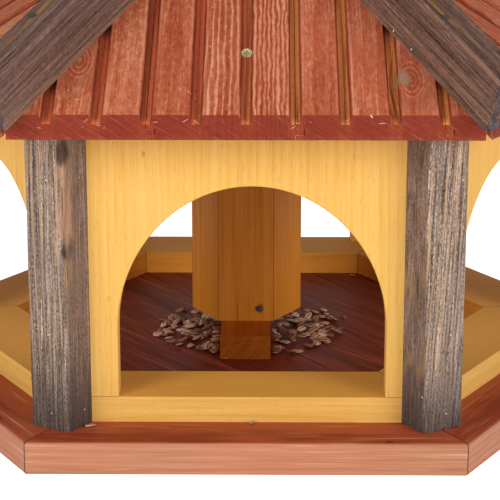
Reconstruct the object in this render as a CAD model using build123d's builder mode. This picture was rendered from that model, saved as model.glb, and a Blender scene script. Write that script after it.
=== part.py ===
from build123d import *
from math import atan, ceil, cos, degrees, floor, hypot, radians, sin, sqrt, tan
import os

os.makedirs("parts", exist_ok=True)

# A six-sided wooden bird feeder: a mitred base with a boarded floor, six arched walls with
# posts over their joints, a boarded roof with hip battens, and a seed hopper in the middle.
# The front wall faces -Y. The underside of the base is z = 0. All sizes are in millimetres.

# Base and floor
base_ledge = 45.0               # outer face of a wall to the outer edge of the base
base_thickness = 26.0
base_edge_radius = 3.0
floor_thickness = 14.0
floor_lap = 15.0                # the rails reach this far inside the base boards
floor_ledge = 12.0              # rebate in the base boards that the floor lies in
floor_board_width = 70.0
floor_board_least = 30.0        # an outer floor board is at least this wide inside the base
floor_fit = 0.5                 # gap round the floor inside its rebate
bearer_width = 60.0
bearer_offset = 74.0            # centre of the feeder to the middle of a floor bearer
stand_hole_radius = 1.75

# Walls
wall_apothem = 240.0            # axis to the outer face of the rails and the walls
rail_width = 62.0
rail_thickness = 20.0
rail_edge_radius = 1.0
wall_thickness = 20.0
leg_width = 37.5                # corner of the walls to the arch, on average
arch_offset = 4.0               # middle of a wall to the middle of its arch, to the right
arch_spring = 52.0              # rail top to the springing of the arch
arch_rise = 112.0
arch_edge_radius = 1.2
post_width = 36.0
post_depth = 19.0               # corner of the walls to the outer face of a post
post_edge_radius = 3.5
cleat_width = 20.0
cleat_height = 14.0             # at the wall, under the roof

# Roof
eave_overhang = 57.0            # outer face of a wall to the eave
eave_height = 231.0             # top of the base to the lower edge of the eave
roof_pitch = 27.0
roof_thickness = 16.0
rib_pitch = 35.0
ribs_per_board = 3
ribs_to_seam = -2               # middle of a roof face to a board joint
groove_top = 10.0
groove_bottom = 6.0
groove_depth = 6.0
hip_gap = 5.0                   # between two roof faces, under the batten
batten_base = 26.0
batten_top = 28.0
batten_height = 38.0
batten_overhang = 14.0          # lower end of a batten, beyond the corner of the eave
batten_edge_radius = 1.5

# Tongue and groove
tongue_length = 6.0
tongue_thickness = 3.5
board_gap = 0.3                 # at a board joint, and round its tongue
seam_chamfer = 0.8

# Hopper and its lid
hopper_x = -3.0                 # the hopper stands a little off the feeder's axis
hopper_y = -3.0
hopper_apothem = 41.0
hopper_wall = 12.0
outlet_height = 20.0            # floor to the hopper's lower edge, which is the lath's thickness
lath_margin = 6.3               # the lath is wider than the block by this on each side
lath_length = 170.0
block_inset = 2.0               # inner corner of the hopper to the block's side
block_height = 22.0
mouth_clearance = 4.0
rim_height = 8.0                # roof surface at its mouth to the hopper's rim
collar_width = 42.0             # hopper's outer face to the collar's upper edge
collar_thickness = 12.0
collar_fit = 0.5
lid_overhang = 19.0             # hopper's outer face to the lid's edge
lid_edge = 7.0
lid_rise = 20.0
lid_flat_apothem = 20.0
plug_thickness = 12.0
plug_fit = 1.5
knob_radius = 17.0
knob_neck_radius = 9.0
knob_height = 34.0
spigot_radius = 5.0
spigot_length = 14.0
lid_gap = 3.0                   # lid to the upper ends of the battens

# Fasteners
screw_radius = 2.0
screw_head_radius = 4.0
screw_head_height = 2.2
screw_recess = 1.2              # roof screw head, into the wood
cross_length = 4.6
cross_width = 1.1
cross_depth = 1.4
roof_screw_length = 20.0
roof_screw_inset = 3.0          # inner face of a wall to the roof screw's head, above the wall
roof_screw_slant = 40.0         # elevation of the roof screws' axes
screw_sink = 0.6                # floor screws' heads, above the underside of the bearers
screw_cover = 3.4               # floor screws' tips, below the top of the floor
nail_radius = 1.2
nail_head_radius = 2.6
nail_head_height = 1.0
hopper_nail_length = 28.0
hopper_nail_inset = 4.0         # block's side to its nails
hopper_nail_z = 11.0
batten_nail_bite = 10.0         # into the roof
batten_nail_side = 7.0          # hip to a batten nail
batten_nail_lower = 70.0        # lower end of a batten to its first nail
batten_nail_upper = 40.0        # upper end of a batten to its second nail
pilot_fit = 0.05
overcut = 1.0                   # cuts begin this far outside the face they open

# Places that follow from the sizes above
sides = ["front", "front_right", "back_right", "back", "back_left", "front_left"]
corners = ["front_right", "right", "back_right", "back_left", "left", "front_left"]
tan30 = tan(radians(30))
cos30 = cos(radians(30))
floor_top = base_thickness
floor_bottom = floor_top - floor_thickness
base_apothem = wall_apothem + base_ledge
base_inner = wall_apothem - rail_width + floor_lap
floor_apothem = base_inner + floor_ledge - floor_fit
rail_top = floor_top + rail_thickness
wall_inner = wall_apothem - wall_thickness
arch_half_width = wall_apothem * tan30 - leg_width
arch_left = arch_offset - arch_half_width
arch_right = arch_offset + arch_half_width
eave_apothem = wall_apothem + eave_overhang
wall_corner = wall_apothem / cos30
post_face = wall_corner + post_depth
eave_z = floor_top + eave_height
slope = tan(radians(roof_pitch))
roof_rise = roof_thickness / cos(radians(roof_pitch))   # roof thickness, measured upright
apex_z = eave_z + roof_rise + eave_apothem * slope
hip_pitch = degrees(atan(slope * cos30))
hip_cos = cos(radians(hip_pitch))
# Fall of a roof face across the hip, in the section square to the hip
hip_fall = 0.5 * sin(radians(roof_pitch)) / sqrt(1 - 0.25 * sin(radians(roof_pitch)) ** 2)
hopper_inner = hopper_apothem - hopper_wall
hopper_bottom = floor_top + outlet_height
block_width = 2 * (hopper_inner * tan30 - block_inset)
lath_width = block_width + 2 * lath_margin
collar_apothem = hopper_apothem + collar_width
lid_apothem = hopper_apothem + lid_overhang
hopper_nail_x = block_width / 2 - hopper_nail_inset
floor_screw_length = floor_top - screw_sink - screw_cover
roof_screw_apothem = wall_inner + roof_screw_inset
batten_nail_length = batten_height + batten_nail_bite
mouth_apothem = hopper_apothem + hypot(hopper_x, hopper_y) + mouth_clearance
rim_z = eave_z + roof_rise + (eave_apothem - mouth_apothem) * slope + rim_height
lid_reach = hypot(hopper_x, hopper_y) + lid_apothem / cos30
batten_run = (eave_apothem / cos30 - lid_reach - lid_gap) / hip_cos
batten_nail_runs = (batten_nail_lower, batten_run - batten_nail_upper)
roof_board_width = ribs_per_board * rib_pitch
first_seam = ribs_to_seam * rib_pitch
eave_overcut = 2 * roof_thickness   # boards start this far beyond the eave and are cut back
above_roof = apex_z + eave_height   # clear of everything, for cuts that go right through


def side_plane(side, height=0.0):
    """Level plane turned to a side: x runs along the side and y runs inwards."""
    turn = radians(60 * side)
    return Plane(origin=(0, 0, height), x_dir=(cos(turn), sin(turn), 0), z_dir=(0, 0, 1))


def corner_plane(corner, height=0.0):
    """Level plane turned to a corner: y runs from the corner to the axis."""
    return side_plane(corner + 0.5, height)


def level_at(x, y, z):
    """Level plane at a point, in line with the feeder's own axes."""
    return Plane(origin=(x, y, z), x_dir=(1, 0, 0), z_dir=(0, 0, 1))


def place(plane, x, y, z=0.0):
    """Point of a plane's own coordinates, in the feeder's coordinates."""
    return plane.from_local_coords(Vector(x, y, z))


def direction(plane, x, y, z):
    """Direction of a plane's own coordinates, in the feeder's coordinates."""
    return place(plane, x, y, z) - plane.origin


def roof_plane(side, height=0.0):
    """Slope of a roof face: x along the eave, y up the slope, z out of the roof."""
    level = side_plane(side, eave_z)
    lean = radians(roof_pitch)
    plane = Plane(
        origin=place(level, 0, -eave_apothem),
        x_dir=direction(level, 1, 0, 0),
        z_dir=direction(level, 0, -sin(lean), cos(lean)),
    )
    return plane.offset(height)


def hip_plane(corner):
    """Section square to a hip, on its top line at the eave: x across, y out, z down the hip."""
    level = corner_plane(corner, eave_z + roof_rise)
    lean = radians(hip_pitch)
    return Plane(
        origin=place(level, 0, -eave_apothem / cos30),
        x_dir=direction(level, 1, 0, 0),
        z_dir=direction(level, 0, -cos(lean), -sin(lean)),
    )


def mitred(outer, inner, gap=0.0):
    """Corners of one side of a hexagonal frame, cut back by half the gap at each mitre."""
    back = gap / 2 / cos30
    far, near = outer * tan30 - back, inner * tan30 - back
    return [(-far, -outer), (far, -outer), (near, -inner), (-near, -inner)]


def hexagon_radius(apothem):
    return apothem / cos30


def tongued_profile(start, end, tongue_middle, top_points):
    """Board section: a tongue on its right edge, a groove on its left, top points right to left."""
    low = tongue_middle - tongue_thickness / 2
    high = tongue_middle + tongue_thickness / 2
    left, right = start + board_gap / 2, end - board_gap / 2
    slot = left + tongue_length + board_gap
    return [
        (left, 0),
        (right, 0),
        (right, low),
        (right + tongue_length, low),
        (right + tongue_length, high),
        (right, high),
        *top_points(left, right),
        (left, high + board_gap),
        (slot, high + board_gap),
        (slot, low - board_gap),
        (left, low - board_gap),
    ]


def floor_top_points(left, right):
    """A plain board with its two upper edges eased."""
    low = floor_thickness - seam_chamfer
    return [
        (right, low),
        (right - seam_chamfer, floor_thickness),
        (left + seam_chamfer, floor_thickness),
        (left, low),
    ]


def roof_top_points(left, right):
    """Flat ribs with sloping sides, and half a groove at each edge of the board."""
    low = roof_thickness - groove_depth
    start, end = left - board_gap / 2, right + board_gap / 2
    points = [(right, low), (end - groove_bottom / 2, low), (end - groove_top / 2, roof_thickness)]
    for rib in range(1, ribs_per_board):
        middle = end - rib * rib_pitch
        points += [
            (middle + groove_top / 2, roof_thickness),
            (middle + groove_bottom / 2, low),
            (middle - groove_bottom / 2, low),
            (middle - groove_top / 2, roof_thickness),
        ]
    points += [(start + groove_top / 2, roof_thickness), (start + groove_bottom / 2, low), (left, low)]
    return points


def facing(part, way):
    """The face of a part that lies furthest along a direction."""
    return part.faces().sort_by(Axis((0, 0, 0), way))[-1]


def finish(piece, name):
    piece.label = name
    export_step(piece, f"parts/{name}.step")


# Where the fasteners go: each is a plane on the surface, with z pointing out along the axis


def roof_screw_plane(side):
    """Head seat of a roof screw, in the middle groove of a roof face, over its cleat."""
    level = side_plane(side, eave_z)
    lean = radians(roof_screw_slant)
    height = roof_rise + (eave_apothem - roof_screw_apothem) * slope
    height -= groove_depth / cos(radians(roof_pitch))
    return Plane(
        origin=place(level, 0, -roof_screw_apothem, height),
        x_dir=direction(level, 1, 0, 0),
        z_dir=direction(level, 0, -cos(lean), sin(lean)),
    )


def hopper_nail_plane(end):
    """Head seat of a hopper nail, on the outside of the front or the back board."""
    way = -1 if end == "front" else 1
    return Plane(
        origin=(hopper_x + hopper_nail_x, hopper_y + way * hopper_apothem, hopper_bottom + hopper_nail_z),
        x_dir=(1, 0, 0),
        z_dir=(0, way, 0),
    )


def batten_nail_planes(corner):
    """The two nails of a batten, one to each side of the hip."""
    section = hip_plane(corner)
    out = direction(section, 0, 1, 0)
    planes = []
    for run, across in zip(batten_nail_runs, (-batten_nail_side, batten_nail_side)):
        head = place(section, across, batten_height, -run)
        planes.append(Plane(origin=head, x_dir=section.x_dir, z_dir=out))
    return planes


floor_turn = Plane(origin=(0, 0, 0), x_dir=(cos30, 0.5, 0), z_dir=(0, 0, 1))  # x across the boards
floor_corner = 30               # turn of the hexagon's corner from the boards' own x
bearer_reach = base_inner - floor_fit
seams_each_way = int((base_inner - floor_board_least) // floor_board_width)
floor_seams = [k * floor_board_width for k in range(-seams_each_way, seams_each_way + 1)]
floor_edges = [-floor_apothem, *floor_seams, floor_apothem]
floor_boards = list(zip(floor_edges, floor_edges[1:]))
over_bearers = [(max(a, -bearer_reach), min(b, bearer_reach)) for a, b in floor_boards]
floor_screw_spots = [((a + b) / 2, bearer_offset * s) for a, b in over_bearers for s in (-1, 1)]
stand_spots = [(bearer_offset * a, bearer_offset * b) for a in (-1, 1) for b in (-1, 1)]


# Base: six mitred boards with a rebate for the floor
for side, name in enumerate(sides):
    level = side_plane(side)
    along = Axis((0, 0, 0), direction(level, 1, 0, 0))
    with BuildPart() as base_board:
        with BuildSketch(level):
            Polygon(*mitred(base_apothem, base_inner), align=None)
        extrude(amount=base_thickness)
        outer = facing(base_board, direction(level, 0, -1, 0))
        fillet(outer.edges().filter_by(along), base_edge_radius)
        with BuildSketch(Plane.XY.offset(floor_bottom)):
            RegularPolygon(hexagon_radius(base_inner + floor_ledge), 6)
        extrude(amount=floor_thickness, mode=Mode.SUBTRACT)
    finish(base_board.part, f"base_board_{name}")

# Floor: tongued boards, cut to the hexagon of the rebate
for number, (start, end) in enumerate(floor_boards, 1):
    section = Plane(origin=(0, 0, floor_bottom), x_dir=floor_turn.x_dir, z_dir=-floor_turn.y_dir)
    points = tongued_profile(start, end, floor_thickness / 2, floor_top_points)
    with BuildPart() as floor_board:
        with BuildSketch(section):
            Polygon(*points, align=None)
        extrude(amount=base_apothem, both=True)
        with BuildSketch(Plane.XY.offset(floor_bottom)):
            RegularPolygon(hexagon_radius(floor_apothem), 6)
        extrude(amount=floor_thickness, mode=Mode.INTERSECT)
        for across, along in floor_screw_spots:
            if start < across < end:
                with Locations(place(floor_turn, across, along, floor_bottom)):
                    Cylinder(
                        screw_radius + pilot_fit,
                        2 * (screw_sink + floor_screw_length - floor_bottom + pilot_fit),
                        mode=Mode.SUBTRACT,
                    )
    finish(floor_board.part, f"floor_board_{number}")

# Bearers under the floor, across its boards, with pilot holes for a stand
for row, name in ((-1, "front"), (1, "back")):
    with BuildPart() as floor_bearer:
        with BuildSketch(floor_turn):
            with Locations((0, row * bearer_offset)):
                Rectangle(2 * base_apothem, bearer_width)
            RegularPolygon(
                hexagon_radius(bearer_reach), 6, rotation=floor_corner, mode=Mode.INTERSECT
            )
        extrude(amount=floor_bottom)
        with Locations([place(floor_turn, a, b) for a, b in floor_screw_spots if b * row > 0]):
            Cylinder(screw_radius + pilot_fit, 4 * floor_bottom, mode=Mode.SUBTRACT)
            Cylinder(
                screw_head_radius + pilot_fit, 2 * (screw_sink + screw_head_height),
                mode=Mode.SUBTRACT,
            )
        with Locations([place(floor_turn, a, b) for a, b in stand_spots if b * row > 0]):
            Cylinder(stand_hole_radius, 4 * floor_bottom, mode=Mode.SUBTRACT)
    finish(floor_bearer.part, f"floor_bearer_{name}")

# Floor screws, driven up through the bearers
with BuildPart() as floor_screws:
    for across, along in floor_screw_spots:
        spot = level_at(*place(floor_turn, across, along, screw_sink))
        with BuildSketch(spot):
            Circle(screw_head_radius)
        extrude(amount=screw_head_height)
        with BuildSketch(spot):
            Circle(screw_radius)
        extrude(amount=floor_screw_length)
finish(floor_screws.part, "floor_screws")

# Rails: a mitred kerb that keeps the seed in and carries the walls
for side, name in enumerate(sides):
    level = side_plane(side, floor_top)
    along = Axis((0, 0, 0), direction(level, 1, 0, 0))
    with BuildPart() as rail:
        with BuildSketch(level):
            Polygon(*mitred(wall_apothem, wall_apothem - rail_width), align=None)
        extrude(amount=rail_thickness)
        top = facing(rail, (0, 0, 1))
        fillet(top.edges().filter_by(along), rail_edge_radius)
    finish(rail.part, f"rail_{name}")

# Walls: arched panels, mitred at the corners and bevelled to the slope of the roof
for side, name in enumerate(sides):
    level = side_plane(side, rail_top)
    upright = Plane(
        origin=place(level, 0, -wall_apothem),
        x_dir=direction(level, 1, 0, 0),
        z_dir=direction(level, 0, -1, 0),
    )
    with BuildPart() as wall:
        with BuildSketch(level):
            Polygon(*mitred(wall_apothem, wall_inner), align=None)
        extrude(amount=above_roof)
        with BuildSketch(upright):
            with BuildLine():
                foot = Line((arch_left, arch_spring), (arch_left, -overcut))
                sill = Line(foot @ 1, (arch_right, -overcut))
                Line(sill @ 1, (arch_right, arch_spring))
                EllipticalCenterArc(
                    (arch_offset, arch_spring), arch_half_width, arch_rise, arc_size=180
                )
            make_face()
        extrude(amount=-wall_thickness - overcut, mode=Mode.SUBTRACT)
        arch_edges = [
            edge
            for face in (facing(wall, direction(level, 0, -1, 0)), facing(wall, direction(level, 0, 1, 0)))
            for edge in face.edges()
            if edge.geom_type == GeomType.ELLIPSE
        ]
        fillet(arch_edges, arch_edge_radius)
        split(bisect_by=roof_plane(side), keep=Keep.BOTTOM)
    finish(wall.part, f"arch_wall_{name}")

# Cleats: a mitred strip inside the top of each wall, which the roof is screwed to
cleat_z = eave_z + (eave_apothem - wall_inner) * slope - cleat_height
with BuildPart() as roof_cleats:
    for side in range(6):
        with BuildSketch(side_plane(side, cleat_z)):
            Polygon(*mitred(wall_inner, wall_inner - cleat_width, board_gap), align=None)
        extrude(amount=above_roof)
    for side in range(6):
        split(bisect_by=roof_plane(side), keep=Keep.BOTTOM)
    for side in range(6):
        with Locations(roof_screw_plane(side)):
            Cylinder(
                screw_radius + pilot_fit, 2 * (roof_screw_length + pilot_fit), mode=Mode.SUBTRACT
            )
finish(roof_cleats.part, "roof_cleats")

# Posts: notched over the corners of the walls, and cut under both slopes of the roof
for corner, name in enumerate(corners):
    level = corner_plane(corner, floor_top)
    half = post_width / 2
    notch = wall_corner - half * tan30
    with BuildPart() as post:
        with BuildSketch(level):
            Polygon(
                (-half, -post_face), (half, -post_face), (half, -notch), (0, -wall_corner), (-half, -notch),
                align=None,
            )
        extrude(amount=above_roof)
        outer = facing(post, direction(level, 0, -1, 0))
        fillet(outer.edges().filter_by(Axis.Z), post_edge_radius)
        split(bisect_by=roof_plane(corner), keep=Keep.BOTTOM)
        split(bisect_by=roof_plane(corner + 1), keep=Keep.BOTTOM)
    finish(post.part, f"post_{name}")

# Hopper: six mitred boards round a block that stands on a lath across the floor
for side, name in enumerate(sides):
    level = Plane(
        origin=(hopper_x, hopper_y, hopper_bottom),
        x_dir=side_plane(side).x_dir,
        z_dir=(0, 0, 1),
    )
    with BuildPart() as hopper_board:
        with BuildSketch(level):
            Polygon(*mitred(hopper_apothem, hopper_inner), align=None)
        extrude(amount=rim_z - hopper_bottom)
        if name in ("front", "back"):
            with Locations(hopper_nail_plane(name)):
                Cylinder(nail_radius + pilot_fit, 2 * (hopper_wall + overcut), mode=Mode.SUBTRACT)
    finish(hopper_board.part, f"hopper_board_{name}")

with BuildPart() as hopper_lath:
    with BuildSketch(Plane.XY.offset(floor_top)):
        with Locations((hopper_x, hopper_y)):
            Rectangle(lath_width, lath_length)
    extrude(amount=outlet_height)
finish(hopper_lath.part, "hopper_lath")

with BuildPart() as hopper_block:
    with BuildSketch(Plane.XY.offset(hopper_bottom)):
        with Locations((hopper_x, hopper_y)):
            Rectangle(block_width, 2 * hopper_inner)
    extrude(amount=block_height)
    for end in ("front", "back"):
        with Locations(hopper_nail_plane(end)):
            Cylinder(nail_radius + pilot_fit, 2 * (hopper_nail_length + overcut), mode=Mode.SUBTRACT)
finish(hopper_block.part, "hopper_block")

# Collar: a board under the roof that steadies the top of the hopper
collar_z = eave_z + (eave_apothem - collar_apothem) * slope - collar_thickness
with BuildPart() as hopper_collar:
    with BuildSketch(Plane.XY.offset(collar_z)):
        RegularPolygon(hexagon_radius(collar_apothem + collar_thickness / slope), 6)
        with Locations((hopper_x, hopper_y)):
            RegularPolygon(hexagon_radius(hopper_apothem + collar_fit), 6, mode=Mode.SUBTRACT)
    extrude(amount=collar_thickness)
    for side in range(6):
        split(bisect_by=roof_plane(side), keep=Keep.BOTTOM)
finish(hopper_collar.part, "hopper_collar")

# Roof faces: tongued boards with ribs, cut upright at the eave, the hips and the mouth
half_eave = eave_apothem * tan30
slope_length = eave_apothem / cos(radians(roof_pitch))
first_board = floor((-half_eave - first_seam) / roof_board_width)
last_board = ceil((half_eave - tongue_length - first_seam) / roof_board_width)
seams = [first_seam + k * roof_board_width for k in range(first_board, last_board + 1)]
for side, name in enumerate(sides):
    slant = roof_plane(side)
    section = Plane(origin=slant.origin, x_dir=slant.x_dir, z_dir=-slant.y_dir).offset(eave_overcut)
    with BuildPart() as roof_face:
        for start, end in zip(seams, seams[1:]):
            points = tongued_profile(start, end, (roof_thickness - groove_depth) / 2, roof_top_points)
            with BuildSketch(section):
                Polygon(*points, align=None)
            extrude(amount=-slope_length - eave_overcut)
        with BuildSketch(side_plane(side)):
            Polygon(*mitred(eave_apothem, mouth_apothem, hip_gap), align=None)
        extrude(amount=above_roof, mode=Mode.INTERSECT)
        with Locations(roof_screw_plane(side)):
            Cylinder(screw_radius + pilot_fit, 4 * roof_thickness, mode=Mode.SUBTRACT)
        with Locations(roof_screw_plane(side).offset(-screw_recess)):
            Cylinder(
                screw_head_radius + pilot_fit, roof_thickness,
                align=(Align.CENTER, Align.CENTER, Align.MIN), mode=Mode.SUBTRACT,
            )
        for corner in (side, side - 1):
            for nail in batten_nail_planes(corner % 6):
                with Locations(nail):
                    Cylinder(
                        nail_radius + pilot_fit, batten_nail_length + pilot_fit,
                        align=(Align.CENTER, Align.CENTER, Align.MAX), mode=Mode.SUBTRACT,
                    )
    finish(roof_face.part, f"roof_face_{name}")

# Hip battens: notched below to sit over two roof faces, square at both ends
for corner, name in enumerate(corners):
    section = hip_plane(corner)
    low = -batten_base / 2 * hip_fall
    with BuildPart() as batten:
        with BuildSketch(section.offset(batten_overhang)):
            Polygon(
                (0, 0), (batten_base / 2, low), (batten_top / 2, batten_height),
                (-batten_top / 2, batten_height), (-batten_base / 2, low),
                align=None,
            )
        extrude(amount=-batten_overhang - batten_run)
        top = facing(batten, direction(section, 0, 1, 0))
        fillet(top.edges().filter_by(Axis((0, 0, 0), section.z_dir)), batten_edge_radius)
        for nail in batten_nail_planes(corner):
            with Locations(nail):
                Cylinder(nail_radius + pilot_fit, 2 * batten_nail_length, mode=Mode.SUBTRACT)
    finish(batten.part, f"hip_batten_{name}")

# Nails of the hopper and of the battens
nail_spots = [(hopper_nail_plane(end), hopper_nail_length) for end in ("front", "back")]
for corner in range(6):
    nail_spots += [(nail, batten_nail_length) for nail in batten_nail_planes(corner)]
with BuildPart() as nails:
    for spot, length in nail_spots:
        with BuildSketch(spot):
            Circle(nail_head_radius)
        extrude(amount=nail_head_height)
        with BuildSketch(spot):
            Circle(nail_radius)
        extrude(amount=-length)
finish(nails.part, "nails")

# Roof screws: domed heads with a cross recess
with BuildPart() as roof_screws:
    for side in range(6):
        seat = roof_screw_plane(side).offset(-screw_recess)
        with BuildSketch(seat):
            Circle(screw_head_radius)
        extrude(amount=screw_head_height)
        with BuildSketch(seat):
            Circle(screw_radius)
        extrude(amount=screw_recess - roof_screw_length)
        with BuildSketch(seat.offset(screw_head_height)):
            Rectangle(cross_length, cross_width)
            Rectangle(cross_width, cross_length)
        extrude(amount=-cross_depth, mode=Mode.SUBTRACT)
finish(roof_screws.part, "roof_screws")

# Lid: lifts off the hopper's rim to fill it
with BuildPart() as lid:
    with BuildSketch(level_at(hopper_x, hopper_y, rim_z)):
        RegularPolygon(hexagon_radius(lid_apothem), 6)
    extrude(amount=lid_edge)
    with BuildSketch(level_at(hopper_x, hopper_y, rim_z + lid_edge)):
        RegularPolygon(hexagon_radius(lid_apothem), 6)
    with BuildSketch(level_at(hopper_x, hopper_y, rim_z + lid_edge + lid_rise)):
        RegularPolygon(hexagon_radius(lid_flat_apothem), 6)
    loft()
    with Locations((hopper_x, hopper_y, rim_z + lid_edge + lid_rise)):
        Cylinder(spigot_radius + pilot_fit, 2 * (spigot_length + pilot_fit), mode=Mode.SUBTRACT)
finish(lid.part, "lid")

with BuildPart() as lid_plug:
    with BuildSketch(level_at(hopper_x, hopper_y, rim_z - plug_thickness)):
        RegularPolygon(hexagon_radius(hopper_inner - plug_fit), 6)
    extrude(amount=plug_thickness)
    bottom = facing(lid_plug, (0, 0, -1))
    chamfer(bottom.edges(), plug_fit)
finish(lid_plug.part, "lid_plug")

with BuildPart() as lid_knob:
    knob_plane = Plane(
        origin=(hopper_x, hopper_y, rim_z + lid_edge + lid_rise), x_dir=(1, 0, 0), z_dir=(0, -1, 0)
    )
    with BuildSketch(knob_plane):
        with BuildLine():
            Polyline(
                (0, knob_height), (0, -spigot_length), (spigot_radius, -spigot_length),
                (spigot_radius, 0), (knob_neck_radius, 0),
            )
            ball = knob_height - knob_radius
            Spline(
                (knob_neck_radius, 0), (knob_radius, ball), (0, knob_height),
                tangents=[(0, 1), (-1, 0)],
            )
        make_face()
    revolve(axis=Axis((hopper_x, hopper_y, 0), (0, 0, 1)))
finish(lid_knob.part, "lid_knob")
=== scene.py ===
import bpy
import numpy as np
from math import atan, cos, pi, radians, sin, tan
from mathutils import Euler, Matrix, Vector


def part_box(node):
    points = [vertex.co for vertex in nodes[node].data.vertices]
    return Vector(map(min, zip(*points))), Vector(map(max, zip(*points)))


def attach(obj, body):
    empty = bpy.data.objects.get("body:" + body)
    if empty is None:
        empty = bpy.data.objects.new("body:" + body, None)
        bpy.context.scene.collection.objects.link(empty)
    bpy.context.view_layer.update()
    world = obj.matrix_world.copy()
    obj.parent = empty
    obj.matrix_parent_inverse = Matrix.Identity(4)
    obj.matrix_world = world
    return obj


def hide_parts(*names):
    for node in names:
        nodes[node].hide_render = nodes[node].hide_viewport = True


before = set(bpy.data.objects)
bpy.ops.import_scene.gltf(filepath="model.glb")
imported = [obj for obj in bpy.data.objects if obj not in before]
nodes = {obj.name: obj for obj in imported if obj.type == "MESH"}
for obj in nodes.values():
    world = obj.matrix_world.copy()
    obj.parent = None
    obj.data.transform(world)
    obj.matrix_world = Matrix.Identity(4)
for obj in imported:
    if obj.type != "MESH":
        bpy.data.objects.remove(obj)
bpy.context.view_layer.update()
print("frame loaded:", len(nodes), "nodes")

sides = ["front", "front_right", "back_right", "back", "back_left", "front_left"]
corners = ["front_right", "right", "back_right", "back_left", "left", "front_left"]

# Sizes that the frame gives, in metres
wallApothem = -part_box("arch_wall_front")[0].y
baseApothem = -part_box("base_board_front")[0].y
eaveApothem = -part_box("roof_face_front")[0].y
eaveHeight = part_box("roof_face_front")[0].z
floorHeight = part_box("floor_board_3")[1].z
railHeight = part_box("rail_front")[1].z
hopperLow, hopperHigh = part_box("hopper_board_front")
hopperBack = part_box("hopper_board_back")[1].y
hopperMiddle = ((hopperLow.x + hopperHigh.x) / 2, (hopperLow.y + hopperBack) / 2)
hopperApothem = (hopperBack - hopperLow.y) / 2
hopperHalf = hopperApothem * tan(radians(30))
roofPitch = radians(27)      # of the roof faces, as built


def tone(red, green, blue):
    # a display colour, 0 to 255 each, as a linear one
    share = np.array([red, green, blue]) / 255
    linear = np.where(share <= 0.04045, share / 12.92, ((share + 0.055) / 1.055) ** 2.4)
    return (*linear, 1.0)


# Small helpers for node trees: a value is a number, a tuple or another node's socket
def connect(tree, node, values):
    for key, value in values.items():
        if isinstance(value, bpy.types.NodeSocket):
            tree.links.new(value, node.inputs[key])
        else:
            node.inputs[key].default_value = value


def addNode(tree, kind, values=(), **settings):
    node = tree.nodes.new("ShaderNode" + kind)
    for key, value in settings.items():
        setattr(node, key, value)
    connect(tree, node, dict(values))
    return node


def calc(tree, operation, *values):
    return addNode(tree, "Math", enumerate(values), operation=operation).outputs[0]


def plus(tree, first, second):
    return calc(tree, "ADD", first, second)


def minus(tree, first, second):
    return calc(tree, "SUBTRACT", first, second)


def times(tree, *values):
    result = values[0]
    for value in values[1:]:
        result = calc(tree, "MULTIPLY", result, value)
    return result


def scaled(tree, value, factor, start):
    # value times factor, counted from start
    return calc(tree, "MULTIPLY_ADD", value, factor, start)


def sway(tree, value, field, amount):
    # value pushed up and down by a noise field, which swings round a half
    return scaled(tree, minus(tree, field, 0.5), amount, value)


def vectorCalc(tree, operation, *values):
    return addNode(tree, "VectorMath", enumerate(values), operation=operation).outputs[0]


def noise(tree, place, stretch, detail=2.0, rough=0.5, shift=0.0):
    moved = vectorCalc(tree, "MULTIPLY_ADD", place, stretch, (shift, shift * 1.7, shift * 0.6))
    node = addNode(tree, "TexNoise", {"Vector": moved, "Scale": 1.0, "Detail": detail, "Roughness": rough})
    return node.outputs[0]


def remap(tree, value, low, high, toLow=0.0, toHigh=1.0, smooth=False):
    values = {0: value, 1: low, 2: high, 3: toLow, 4: toHigh}
    shape = "SMOOTHSTEP" if smooth else "LINEAR"
    return addNode(tree, "MapRange", values, interpolation_type=shape).outputs[0]


def blend(tree, share, first, second, kind="MIX"):
    values = {0: share, 6: first, 7: second}
    return addNode(tree, "Mix", values, data_type="RGBA", blend_type=kind).outputs[2]


def ramp(tree, value, stops):
    # each stop is a place from 0 to 1 and a display colour
    node = addNode(tree, "ValToRGB", {0: value})
    elements = node.color_ramp.elements
    while len(elements) < len(stops):
        elements.new(0.5)
    for element, (place, *colour) in zip(elements, stops):
        element.position = place
        element.color = tone(*colour)
    return node.outputs[0]


def split(tree, vector):
    return addNode(tree, "SeparateXYZ", {0: vector}).outputs


def join(tree, x, y, z):
    return addNode(tree, "CombineXYZ", {0: x, 1: y, 2: z}).outputs[0]


def turned(tree, vector, place, turn):
    # a vector as seen from a place that is turned
    return addNode(tree, "Mapping", {0: vector, 1: place, 2: turn}, vector_type="TEXTURE").outputs[0]


def randomOf(tree, value):
    return addNode(tree, "TexWhiteNoise", {"W": value}, noise_dimensions="1D").outputs[0]


def mixed(tree, share, first, second):
    # a number, from first where share is 0 to second where it is 1
    return scaled(tree, minus(tree, second, first), share, first)


def length3(tree, x, y, z=0.0):
    squares = plus(tree, times(tree, x, x), times(tree, y, y))
    return calc(tree, "SQRT", plus(tree, squares, times(tree, z, z)))


def mitreLine(tree, board, apothem, width):
    # 1 on the joint at each end of a mitred board, whose x runs inwards from its outer face
    x, y = split(tree, board)[:2]
    reach = times(tree, minus(tree, apothem, x), tan(radians(30)))
    gap = minus(tree, reach, calc(tree, "ABSOLUTE", y))
    return remap(tree, gap, width * 0.6, width, 1.0, 0.0)


def band(tree, value, low, high, soft):
    # 1 between low and high, easing to 0 over soft at each end
    up = remap(tree, value, low - soft, low + soft, 0.0, 1.0, True)
    down = remap(tree, value, high - soft, high + soft, 1.0, 0.0, True)
    return times(tree, up, down)


def wavyLines(tree, board, period, wander, stretch, sharp, shift=0.0):
    # lines along the grain: (0.5 + 0.5 sin(2 pi (x + wander noise) / period)) to a power
    x = split(tree, board)[0]
    moved = sway(tree, x, noise(tree, board, stretch, 2.0, 0.5, shift), wander)
    wave = calc(tree, "SINE", times(tree, moved, 2 * pi / period))
    return calc(tree, "POWER", scaled(tree, wave, 0.5, 0.5), sharp)


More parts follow.
